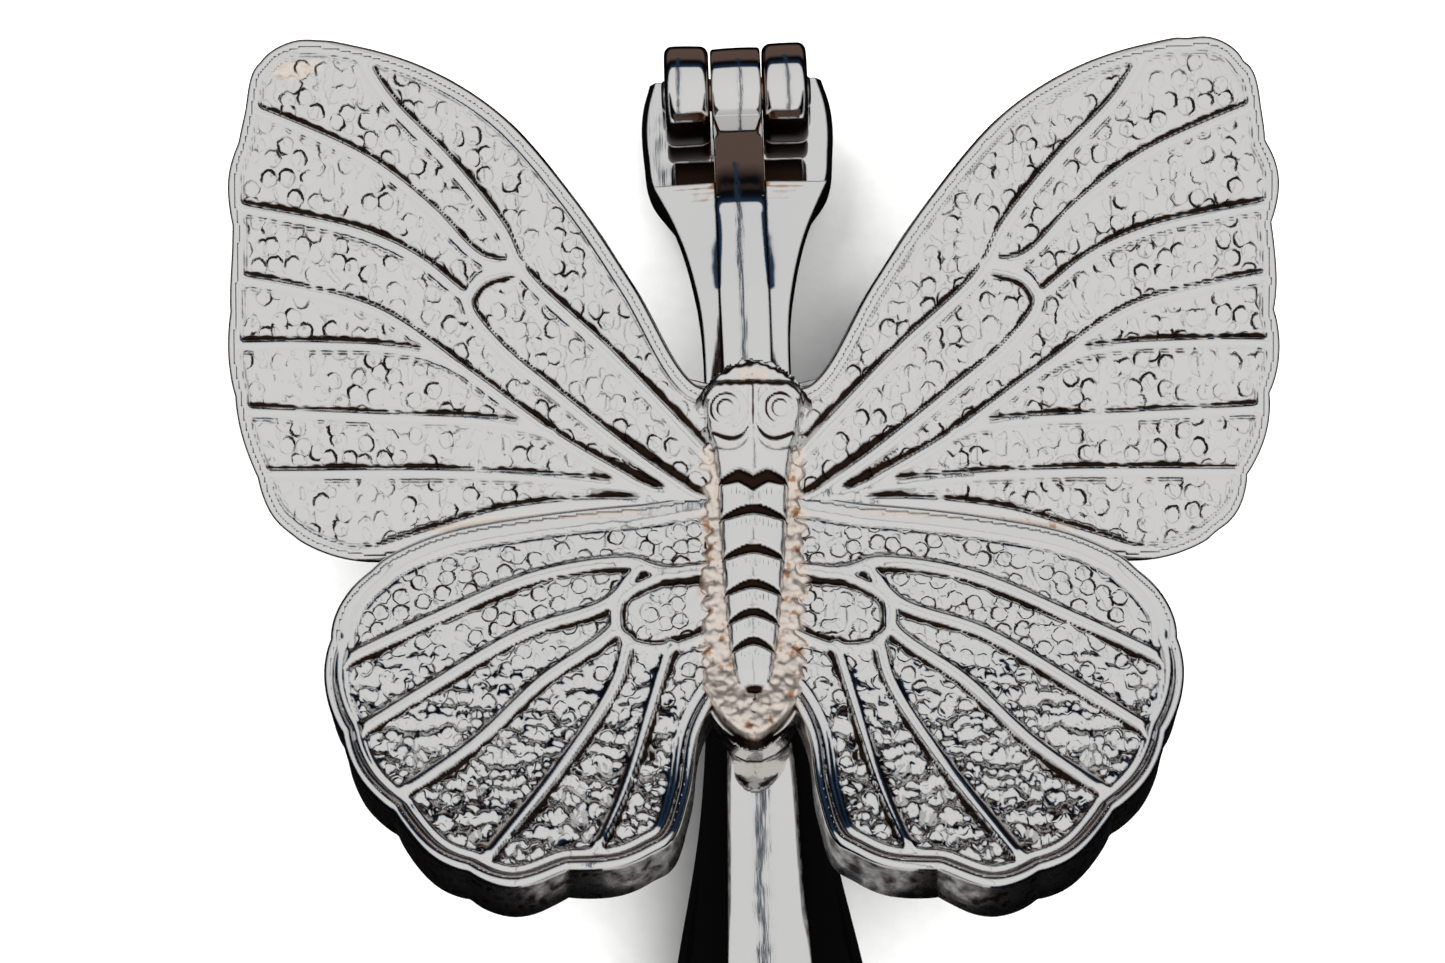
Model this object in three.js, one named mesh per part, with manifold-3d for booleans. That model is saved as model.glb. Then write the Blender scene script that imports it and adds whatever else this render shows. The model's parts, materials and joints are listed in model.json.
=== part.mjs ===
// Lever nutcracker with a cast butterfly on its front lever. Millimetres, +Z up.
// It lies closed on its rear lever: hinge towards +Y, handles towards -Y, butterfly on top.
// Along the levers, "s" is the distance from the hinge axis towards the handle ends.
import * as THREE from 'three';
import { ParametricGeometry } from 'three/addons/geometries/ParametricGeometry.js';
import { mergeVertices } from 'three/addons/utils/BufferGeometryUtils.js';
import Module from 'manifold-3d';

const wasm = await Module();
wasm.setup();

// Whole object
const hingeY = 81.2;
const axisHeight = 9;
const leverEnd = 167;
const clearance = 0.3;

// Hinge
const knuckleRadius = 4.6;
const tongueRadius = 4.3;
const tongueHalfWidth = 2.3;
const knuckleInner = tongueHalfWidth + clearance;
const knuckleOuter = 6.55;
const pinRadius = 1.5;
const pinHalfLength = 6.9;
const headPlateStart = -2.5;
const shoulder = 12.4;
const tongueTopStart = 3.7;
const pocket = { s: 8.4, z: 0.4, radius: 3.5, halfWidth: 6.2 };

// Levers
const stripRise = 0.8;
const facetRise = 0.35;
const undercut = { full: 16, none: 32, wall: 1.2, reach: 1.8 };
const innerBevel = 0.5;
const endRounding = 10;
const tooth = { start: 16, end: 52, pitch: 2.6, depth: 0.8 };

// Butterfly
const butterflyTwist = THREE.MathUtils.degToRad(-2);
const twistPivot = 46;
const wingRoot = { s: 44.9, z: 22 };
const upperTilt = 0.445;
const lowerCurlStart = 57.9;
const lowerCurl = 0.01055;
const upperThickness = 3;
const lowerThickness = 4.6;
const rimRise = 0.8;
const boss = { start: 33, end: 65.6, step: 4, halfWidth: 4.4, top: 21.4 };

// Fixing screws, driven from the jaw side
const screw = { shankRadius: 1.5, headRadius: 2.7, headHeight: 1.3, sink: 0.5 };
const screwPlaces = { fixing_screw_upper: { s: 40.5, tip: 21.0 }, fixing_screw_lower: { s: 53, tip: 20.6 } };

const point = (x, y, z) => new THREE.Vector3(x, y, z);
const at = (x, s, z) => point(x, hingeY - s, z);

// ---------- solids ----------

// A closed body from a list of rings, each with the same number of points, closed by a fan at both ends.
function loft(rings) {
  const middle = (ring) => ring.reduce((sum, p) => sum.add(p), point(0, 0, 0)).divideScalar(ring.length);
  const count = rings[0].length;
  const stack = [Array(count).fill(middle(rings[0])), ...rings, Array(count).fill(middle(rings.at(-1)))];
  return new ParametricGeometry((u, v, target) => {
    target.copy(stack[Math.round(v * (stack.length - 1))][Math.round(u * count) % count]);
  }, count, stack.length - 1);
}

// A solid from a closed geometry; zero-area triangles at fans and poles are left out.
function solid(geometry) {
  const plain = new THREE.BufferGeometry();
  plain.setAttribute('position', geometry.attributes.position);
  plain.setIndex(geometry.index);
  const merged = mergeVertices(plain, 1e-5);
  const index = merged.index.array;
  const triangles = [];
  for (let i = 0; i < index.length; i += 3) {
    const [a, b, c] = [index[i], index[i + 1], index[i + 2]];
    if (a !== b && b !== c && c !== a) triangles.push(a, b, c);
  }
  const build = (list) => new wasm.Manifold(new wasm.Mesh({
    numProp: 3,
    vertProperties: new Float32Array(merged.attributes.position.array),
    triVerts: new Uint32Array(list),
  }));
  const body = build(triangles);
  return body.volume() > 0 ? body : build(triangles.reverse());
}

function toGeometry(body) {
  const mesh = body.getMesh();
  const geometry = new THREE.BufferGeometry();
  geometry.setAttribute('position', new THREE.BufferAttribute(new Float32Array(mesh.vertProperties), 3));
  geometry.setIndex(new THREE.BufferAttribute(new Uint32Array(mesh.triVerts), 1));
  geometry.computeVertexNormals();
  return geometry;
}

const box = (x0, x1, s0, s1, z0, z1) => solid(
  new THREE.BoxGeometry(x1 - x0, s1 - s0, z1 - z0)
    .translate((x0 + x1) / 2, hingeY - (s0 + s1) / 2, (z0 + z1) / 2));

// A cylinder along X at distance s from the hinge axis, z above it.
const crossCylinder = (radius, x0, x1, s = 0, z = 0, sides = 48) => solid(
  new THREE.CylinderGeometry(radius, radius, x1 - x0, sides)
    .rotateZ(Math.PI / 2).translate((x0 + x1) / 2, hingeY - s, axisHeight + z));

// ---------- levers ----------

// Each station: s, half width, strip half width, outer face, side edge and inner face above the mid-plane.
const leverStations = [
  [12.4, 7.9, 2.2, 7.3, 6.65, 0.3], [14.5, 6.95, 2.18, 7.95, 6.8, 1.0], [16, 6.3, 2.15, 8.15, 6.9, 1.6],
  [23.5, 4.3, 2.13, 9.0, 7.6, 3.5], [35, 3.8, 2.13, 9.0, 7.6, 3.5], [43, 3.8, 2.3, 8.3, 6.9, 3.4], [52, 4.1, 2.65, 7.2, 5.6, 1.7],
  [60, 4.5, 2.9, 6.5, 4.4, 0], [70, 5.4, 3.15, 6.6, 3.5, 1.6], [83, 7.8, 3.4, 7.8, 3.4, 2.5],
  [95, 9.9, 3.6, 8.8, 3.5, 2.5], [110, 10.4, 3.9, 9.0, 3.6, 2.5], [130, 10.1, 4.0, 9.0, 3.6, 2.5],
  [150, 9.0, 3.8, 8.5, 3.6, 2.5], [167, 7.6, 3.4, 7.2, 3.5, 2.5],
];
// The rear lever's head plate starts behind the hinge, carries the knuckles and narrows before the front one does.
const rearHeadStations = [
  [headPlateStart, 8.0, 2.2, 4.4, 3.4, 1.95], [0, 8.65, 2.2, 5.0, 3.9, 1.95], [5, 8.75, 2.2, 5.7, 4.4, 1.95],
  [9.2, 7.9, 2.2, 6.3, 5.3, 1.95], [11, 6.5, 2.2, 6.6, 5.9, 1.85], [13, 5.0, 2.2, 7.2, 6.4, 1.7],
  [15.5, 4.15, 2.2, 8.0, 6.9, 1.9], [19, 3.65, 2.15, 8.7, 7.3, 2.6], [25, 3.5, 2.13, 9.0, 7.6, 3.5],
  [35, 3.5, 2.13, 9.0, 7.6, 3.5],
];
const rearStations = [...rearHeadStations, ...leverStations.filter((row) => row[0] > 35)];

function leverShape(stations) {
  const positions = stations.map((row) => row[0]);
  const values = stations.flatMap((row) => row.slice(1));
  const curve = new THREE.CubicInterpolant(positions, values, 5, new Float64Array(5));
  return (s) => {
    const [width, strip, outer, edge, inner] = curve.evaluate(s);
    const intoEnd = Math.max(0, s - (leverEnd - endRounding)) / endRounding;
    const taper = Math.max(0.12, Math.sqrt(1 - intoEnd * intoEnd));
    return {
      halfWidth: width * taper,
      strip: strip * taper,
      outer: Math.min(axisHeight, outer),
      edge,
      inner: Math.max(clearance / 2, Math.min(3.5, inner)),
    };
  };
}

const frontShape = leverShape(leverStations);
const rearShape = leverShape(rearStations);

// Ridges across the jaw faces that keep the nut from slipping.
function toothRise(s) {
  if (s < tooth.start || s > tooth.end) return 0;
  const phase = ((s - tooth.start) / tooth.pitch) % 1;
  return tooth.depth * (1 - Math.abs(2 * phase - 1)) * (phase > 0.01 ? 1 : 0);
}

function leverPlaces(start) {
  const places = [];
  const plainStep = 2.6;
  const endStep = 1.3;
  for (let s = start; s < tooth.start - 1; s += plainStep) places.push(s);
  for (let s = tooth.start; s <= tooth.end + 0.01; s += tooth.pitch / 2) places.push(s);
  for (let s = tooth.end + plainStep; s < leverEnd - endRounding; s += plainStep) places.push(s);
  for (let s = leverEnd - endRounding; s < leverEnd; s += endStep) places.push(s);
  return [...places, leverEnd];
}

// The lever's cross-section at s. side is +1 for the front lever and -1 for the rear one.
// Near the head the front lever's flanks are undercut, which leaves a thin edge.
function leverRing(shape, s, side, grow = 0) {
  const { halfWidth, strip, outer, edge, inner } = shape(s);
  const low = Math.max(clearance / 2, inner - toothRise(s) / 2) - grow;
  const wide = halfWidth + grow;
  const high = outer + grow;
  const hollow = side > 0 ? 1 - THREE.MathUtils.smoothstep(s, undercut.full, undercut.none) : 0;
  const jawHalf = wide - THREE.MathUtils.lerp(innerBevel, undercut.reach, hollow);
  const wallFoot = Math.max(low + innerBevel, THREE.MathUtils.lerp(low + innerBevel, edge - undercut.wall, hollow));
  const profile = [
    [jawHalf, low], [wide, wallFoot], [wide, edge + grow],
    [strip + 0.15 + grow, Math.max(high - stripRise, edge + grow + facetRise)], [strip + grow, high],
  ];
  const mirrored = profile.map(([x, z]) => [-x, z]).reverse();
  return [...profile, ...mirrored].map(([x, z]) => at(x, s, axisHeight + side * z));
}

const lever = (shape, start, side, grow) => solid(
  loft(leverPlaces(start).map((s) => leverRing(shape, s, side, grow))));

// The front lever's middle knuckle and the strip that climbs from it to the shoulder.
function tongue() {
  const underside = 0.3;
  const overlap = 1.5;
  const places = [0, tongueTopStart, 6.5, 9.5, shoulder, shoulder + overlap];
  const topAtKnuckle = 2.7;
  const firstSlope = 0.75;
  const length = shoulder - tongueTopStart;
  const easing = (firstSlope * length - (frontShape(shoulder).outer - topAtKnuckle)) / length ** 2;
  const climb = (s) => {
    const along = s - tongueTopStart;
    return topAtKnuckle + firstSlope * along - easing * along ** 2;
  };
  const rings = places.map((s) => {
    const top = axisHeight + (s > shoulder ? frontShape(s).outer : Math.max(climb(s), 1.6));
    const low = axisHeight + (s > shoulder ? frontShape(s).inner + 1 : underside);
    const w = tongueHalfWidth - 0.1;
    return [at(w, s, low), at(w, s, top), at(-w, s, top), at(-w, s, low)];
  });
  return solid(loft(rings)).add(crossCylinder(tongueRadius, -tongueHalfWidth, tongueHalfWidth));
}

// Holes for one countersunk screw, clear of it all round, cut from both the lever and the butterfly.
function screwHole({ s, tip }) {
  const face = axisHeight + frontShape(s).inner + screw.sink;
  const wide = screw.headRadius + clearance;
  const narrow = screw.shankRadius + clearance;
  const profile = [
    [0, face - 4], [wide, face - 4], [wide, face + clearance],
    [narrow, face + screw.headHeight + clearance], [narrow, tip + clearance], [0, tip + clearance],
  ].map(([r, z]) => new THREE.Vector2(r, z));
  return solid(new THREE.LatheGeometry(profile, 32).rotateX(Math.PI / 2).translate(0, hingeY - s, 0));
}

function frontLever() {
  let body = lever(frontShape, shoulder, 1).add(tongue()).subtract(pinBore());
  for (const place of Object.values(screwPlaces)) body = body.subtract(screwHole(place));
  return body;
}

const pinBore = () => crossCylinder(pinRadius + clearance, -10, 10, 0, 0, 32);

function rearLever() {
  const plate = lever(rearShape, headPlateStart, -1);
  const scoop = crossCylinder(pocket.radius, -pocket.halfWidth, pocket.halfWidth, pocket.s, pocket.z);
  const slot = box(-knuckleInner, knuckleInner, -6, 5.2, -1, 20);
  const knuckles = crossCylinder(knuckleRadius, -knuckleOuter, knuckleOuter);
  return plate.subtract(scoop).add(knuckles).subtract(slot).subtract(pinBore());
}

function hingePin() {
  const dome = 0.5;
  const profile = [
    [0, -pinHalfLength], [pinRadius - dome, -pinHalfLength], [pinRadius, dome - pinHalfLength],
    [pinRadius, pinHalfLength - dome], [pinRadius - dome, pinHalfLength], [0, pinHalfLength],
  ].map(([r, y]) => new THREE.Vector2(r, y));
  return solid(new THREE.LatheGeometry(profile, 32).rotateZ(Math.PI / 2).translate(0, hingeY, axisHeight));
}

function fixingScrew({ s, tip }) {
  const face = axisHeight + frontShape(s).inner + screw.sink;
  const point = 0.6;
  const profile = [
    [0, face], [screw.headRadius, face], [screw.headRadius, face + 0.2],
    [screw.shankRadius, face + screw.headHeight], [screw.shankRadius, tip - point],
    [screw.shankRadius - point, tip], [0, tip],
  ].map(([r, z]) => new THREE.Vector2(r, z));
  const body = solid(new THREE.LatheGeometry(profile, 32).rotateX(Math.PI / 2).translate(0, hingeY - s, 0));
  const slot = box(-3, 3, s - 0.35, s + 0.35, face - 1, face + 0.7);
  return body.subtract(slot);
}

// ---------- butterfly ----------

// Right-hand wing outlines as (x, s), from the root round the margin and back.
const upperOutline = [
  [1, 37], [5, 36], [10, 28.5], [15, 21.7], [21, 15.4], [27, 11.9], [33, 10.1], [38.2, 9.6], [41.7, 11.4],
  [42.7, 15.2], [44.1, 20], [43.9, 26], [44.3, 31.5], [44, 36.5], [42.7, 41.5], [40.5, 46.4], [37, 48.8],
  [31.5, 49.8], [20, 47.2], [10, 46.4], [1, 46.2],
];
const lowerOutline = [
  [1, 45], [10, 45.2], [20, 46.4], [27, 48], [32, 50.8], [35, 55], [35.7, 59], [34.8, 64], [32.5, 69],
  [28.5, 73.8], [24.8, 77.3], [19.5, 79.3], [14.8, 78.2], [9.8, 77.2], [6.6, 75.2], [5.2, 71], [4.4, 65.5],
  [3, 62.5], [1, 60],
];
const upperTop = (s) => wingRoot.z + (wingRoot.s - s) * upperTilt;
const lowerTop = (s) => wingRoot.z + lowerCurl * Math.max(0, s - lowerCurlStart) ** 2;

// The point at height h over a wing's upper face, square to that face.
function overWing(x, s, topAt, h) {
  const reach = 0.05;
  const slope = (topAt(s + reach) - topAt(s - reach)) / (2 * reach);
  const length = Math.hypot(1, slope);
  return at(x, s - (h * slope) / length, topAt(s) + h / length);
}

// A cupped plate: concentric rings of the outline, with a raised rim along the margin.
function wing(outline, centre, topAt, thickness, side) {
  const sides = 56;
  const curve = new THREE.CatmullRomCurve3(outline.map(([x, s]) => point(x, s, 0)), true, 'centripetal');
  const margin = curve.getPoints(sides).slice(0, sides);
  const ring = (share, rise, drop) => margin.map((p) => {
    const x = THREE.MathUtils.lerp(centre[0], p.x, share);
    const s = THREE.MathUtils.lerp(centre[1], p.y, share);
    return overWing(side * x, s, topAt, rise - drop - rimRise);
  });
  const base = thickness - rimRise;
  return solid(loft([
    ring(0.3, 0, base), ring(0.65, 0, base), ring(0.97, 0, base), ring(1, 0.4, base), ring(1, rimRise - 0.3, 0),
    ring(0.975, rimRise, 0), ring(0.945, rimRise, 0), ring(0.9, 0, 0), ring(0.6, 0, 0), ring(0.3, 0, 0),
  ]));
}

// How much the insect rises over the level of the lower wings, to stay on top of the upper ones.
const bodyRise = (s) => Math.max(0, wingRoot.s - s) * upperTilt;

// Head, thorax and tapering abdomen, turned about the butterfly's own length.
function insectBody() {
  const height = 22.2;
  const profile = [
    [34.6, 0], [34.9, 1.3], [36.2, 2.5], [38.3, 2.7], [39.6, 2.2], [41.5, 2.8], [44.5, 2.7], [46.5, 2.1],
    [50, 2.3], [56, 1.9], [61, 1.5], [65, 1.1], [65.4, 0],
  ].map(([s, r]) => new THREE.Vector2(r, hingeY - s));
  const body = new THREE.LatheGeometry(profile, 24).translate(0, 0, height);
  const places = body.attributes.position;
  for (let i = 0; i < places.count; i += 1) {
    places.setZ(i, places.getZ(i) + bodyRise(hingeY - places.getY(i)));
  }
  return solid(body);
}

const eyePlace = { x: 2.3, s: 37.4, z: 23.6, radius: 1.25 };
const eye = (side) => solid(new THREE.SphereGeometry(eyePlace.radius, 16, 12)
  .translate(side * eyePlace.x, hingeY - eyePlace.s, eyePlace.z + bodyRise(eyePlace.s)));

// The block under the body that seats the casting on the lever's crest.
function rootBlock() {
  const places = [];
  for (let s = boss.start; s < boss.end - boss.step / 2; s += boss.step) places.push(s);
  const rings = [...places, boss.end].map((s) => {
    const seat = axisHeight + frontShape(s).outer + clearance + 0.05;
    const top = Math.max(boss.top, upperTop(s) - 1.5);
    const w = boss.halfWidth;
    return [at(w, s, seat), at(w, s, top), at(-w, s, top), at(-w, s, seat)];
  });
  return solid(loft(rings));
}

function butterfly() {
  const parts = [1, -1].flatMap((side) => [
    wing(upperOutline, [26, 31], upperTop, upperThickness, side),
    wing(lowerOutline, [18, 61], lowerTop, lowerThickness, side),
    eye(side),
  ]);
  let body = parts.reduce((sum, part) => sum.add(part), insectBody().add(rootBlock()));
  body = body.translate([0, twistPivot - hingeY, 0])
    .rotate([0, 0, THREE.MathUtils.radToDeg(butterflyTwist)])
    .translate([0, hingeY - twistPivot, 0]);
  body = body.subtract(lever(frontShape, shoulder, 1, clearance));
  for (const place of Object.values(screwPlaces)) body = body.subtract(screwHole(place));
  return body;
}

// ---------- assembly ----------

const polished = new THREE.MeshStandardMaterial({ color: 0xd4d4d4, roughness: 0.12, metalness: 1 });
const ornament = new THREE.MeshStandardMaterial({ color: 0xc9c4bc, roughness: 0.2, metalness: 1 });
const steel = new THREE.MeshStandardMaterial({ color: 0xa8a8a6, roughness: 0.35, metalness: 1 });

const nutcracker = new THREE.Group();
function addPiece(name, body, material) {
  const mesh = new THREE.Mesh(toGeometry(body), material);
  mesh.name = name;
  nutcracker.add(mesh);
}

addPiece('rear_lever', rearLever(), polished);
addPiece('front_lever', frontLever(), polished);
addPiece('hinge_pin', hingePin(), steel);
addPiece('butterfly', butterfly(), ornament);
for (const [name, place] of Object.entries(screwPlaces)) addPiece(name, fixingScrew(place), steel);

export default nutcracker;
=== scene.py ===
import json
import math
import bpy
import numpy as np
from mathutils import Matrix, Vector


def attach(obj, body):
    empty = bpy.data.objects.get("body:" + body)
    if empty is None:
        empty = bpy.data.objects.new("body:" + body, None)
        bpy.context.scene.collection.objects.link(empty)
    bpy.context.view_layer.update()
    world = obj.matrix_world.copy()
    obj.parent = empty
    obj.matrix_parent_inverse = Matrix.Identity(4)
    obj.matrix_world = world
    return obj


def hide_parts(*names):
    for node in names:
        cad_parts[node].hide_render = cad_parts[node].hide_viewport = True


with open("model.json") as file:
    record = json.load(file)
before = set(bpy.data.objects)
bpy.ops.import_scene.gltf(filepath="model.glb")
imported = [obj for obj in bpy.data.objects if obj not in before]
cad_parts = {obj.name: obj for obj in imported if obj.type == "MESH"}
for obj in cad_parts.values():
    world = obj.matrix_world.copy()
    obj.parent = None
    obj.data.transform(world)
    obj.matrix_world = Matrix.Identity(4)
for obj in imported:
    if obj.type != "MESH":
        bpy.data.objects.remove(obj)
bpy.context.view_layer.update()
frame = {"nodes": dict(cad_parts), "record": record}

# Lever nutcracker with a cast butterfly on its front lever.
# Pieces are laid out in millimetres: x across, s = distance from the hinge axis towards the handles, z up.
hingePos = frame["record"]["behaviour"]["joints"][0]["pos_m"]
hingeY = hingePos[1] * 1000
axisHeight = hingePos[2] * 1000
frontBody = "front_lever_body"
rearBody = "rear_lever_body"


def linear(hexCode):
    channels = [int(hexCode[i:i + 2], 16) / 255 for i in (1, 3, 5)]
    return [c / 12.92 if c < 0.04045 else ((c + 0.055) / 1.055) ** 2.4 for c in channels] + [1.0]


def addNode(tree, kind, inputs=None, stops=(), **settings):
    # inputs are linked or set by name; stops are a colour ramp's positions and colours
    node = tree.nodes.new("ShaderNode" + kind)
    for name, value in settings.items():
        setattr(node, name, value)
    for i, (position, hexCode) in enumerate(stops):
        elements = node.color_ramp.elements
        stop = elements[i] if i < 2 else elements.new(position)
        stop.position = position
        stop.color = linear(hexCode)
    for name, value in (inputs or {}).items():
        if isinstance(value, bpy.types.NodeSocket):
            tree.links.new(value, node.inputs[name])
        else:
            node.inputs[name].default_value = value
    return node


def smoothStep(low, high, value):
    t = np.clip((value - low) / (high - low), 0, 1)
    return t * t * (3 - 2 * t)


def vertexPlaces(mesh):
    co = np.empty(len(mesh.vertices) * 3)
    mesh.vertices.foreach_get("co", co)
    return co.reshape(-1, 3)


def paintMarks(mesh, marks):
    for markName, values in marks.items():
        attribute = mesh.attributes.new(markName, "FLOAT", "POINT")
        attribute.data.foreach_set("value", np.asarray(values, np.float32))


def makeObject(name, points, faces, material, sharpAngle=None, marks=None):
    # points are (x, s, z) in mm
    points = np.asarray(points, float)
    mesh = bpy.data.meshes.new(name)
    verts = np.column_stack([points[:, 0], hingeY - points[:, 1], points[:, 2]]) * 0.001
    mesh.from_pydata(verts.tolist(), [], [list(map(int, f)) for f in faces])
    paintMarks(mesh, marks or {})
    mesh.polygons.foreach_set("use_smooth", [True] * len(mesh.polygons))
    mesh.update()
    if sharpAngle:
        mesh.set_sharp_from_angle(angle=math.radians(sharpAngle))
    mesh.materials.append(material)
    piece = bpy.data.objects.new(name, mesh)
    bpy.context.scene.collection.objects.link(piece)
    return piece


def faceOutward(piece):
    # signed volume decides whether the closed mesh is inside out
    mesh = piece.data
    mesh.calc_loop_triangles()
    co = vertexPlaces(mesh)
    tri = np.empty(len(mesh.loop_triangles) * 3, np.int32)
    mesh.loop_triangles.foreach_get("vertices", tri)
    a, b, c = (co[tri.reshape(-1, 3)[:, i]] for i in range(3))
    if np.einsum("ij,ij->i", a, np.cross(b, c)).sum() < 0:
        mesh.flip_normals()
    return piece


def bandFaces(count, around, closed=False):
    # quads between neighbouring rings; closed joins the last ring to the first
    return [(i * around + j, i * around + (j + 1) % around,
             (i + 1) % count * around + (j + 1) % around, (i + 1) % count * around + j)
            for i in range(count if closed else count - 1) for j in range(around)]


def loftMesh(rings):
    # closed body from rings with the same number of points, each end closed by one face
    rings = np.asarray(rings, float)
    count, around = rings.shape[:2]
    faces = bandFaces(count, around)
    faces.append(tuple(range(around))[::-1])
    faces.append(tuple((count - 1) * around + j for j in range(around)))
    return rings.reshape(-1, 3), faces


def smoothCurve(points, closed, perSpan):
    # centripetal curve through the given points
    p = np.asarray(points, float)
    n = len(p)
    before, after = (p[-1:], p[:2]) if closed else ([2 * p[0] - p[1]], [2 * p[-1] - p[-2]])
    ext = np.vstack([before, p, after])
    out = []
    for i in range(n if closed else n - 1):
        a, b, c, d = ext[i:i + 4]
        t1 = max(np.linalg.norm(b - a), 1e-6) ** 0.5
        t2 = t1 + max(np.linalg.norm(c - b), 1e-6) ** 0.5
        t3 = t2 + max(np.linalg.norm(d - c), 1e-6) ** 0.5
        for k in range(perSpan):
            t = t1 + (t2 - t1) * k / perSpan
            ab = a + (b - a) * t / t1
            bc = b + (c - b) * (t - t1) / (t2 - t1)
            cd = c + (d - c) * (t - t2) / (t3 - t2)
            abc = ab + (bc - ab) * t / t2
            bcd = bc + (cd - bc) * (t - t1) / (t3 - t1)
            out.append(abc + (bcd - abc) * (t - t1) / (t2 - t1))
    if not closed:
        out.append(p[-1])
    return np.array(out)


def evenly(line, spacing):
    # the closed line again, at even steps
    loop = np.vstack([line, line[:1]])
    run = np.concatenate([[0], np.cumsum(np.linalg.norm(np.diff(loop, axis=0), axis=1))])
    at = np.linspace(0, run[-1], max(8, int(run[-1] / spacing)), endpoint=False)
    return np.column_stack([np.interp(at, run, loop[:, k]) for k in range(2)]), at / run[-1]


def distanceToLine(x, s, line):
    # distance to the line, and whether the point lies on its left
    best = np.full(x.shape, 1e9)
    left = np.zeros(x.shape, bool)
    for a, b in zip(line[:-1], line[1:]):
        run = b - a
        length = run @ run
        if length < 1e-12:
            continue
        t = np.clip(((x - a[0]) * run[0] + (s - a[1]) * run[1]) / length, 0, 1)
        away = np.hypot(x - a[0] - t * run[0], s - a[1] - t * run[1])
        closer = away < best
        best = np.where(closer, away, best)
        left = np.where(closer, run[0] * (s - a[1]) - run[1] * (x - a[0]) > 0, left)
    return best, left


def insideLine(x, s, line):
    hit = np.zeros(x.shape, bool)
    for a, b in zip(line, np.roll(line, -1, axis=0)):
        crosses = (a[1] > s) != (b[1] > s)
        if a[1] != b[1]:
            hit ^= crosses & (x < (b[0] - a[0]) * (s - a[1]) / (b[1] - a[1]) + a[0])
    return hit


print("finishes")

casting = {
    "silver": "#D9D8D6",       # nickel plate over a brass casting
    "brassAndPaintedReflection": "#A8805C",    # brass colour, painted in a band beside the hinge's tongue and as painted reflection streaks past the shoulder edge
    "tarnishAndShade": "#2A1E17",      # dried polish and dirt in the grooves, and painted shade in creases, pockets and on the wing walls
    "residue": "#EFE3D8",      # cream left by polishing paste beside the body
    "residueDark": "#B98A66",  # the same paste where it has dried thick
    "roughness": 0.045,
    "punchSize": 0.00166,      # metres between the punch marks
    "punchDepth": 0.00012,
}


def emptyMaterial(name):
    material = bpy.data.materials.new(name)
    material.use_nodes = True
    material.node_tree.nodes.clear()
    return material, material.node_tree


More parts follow.
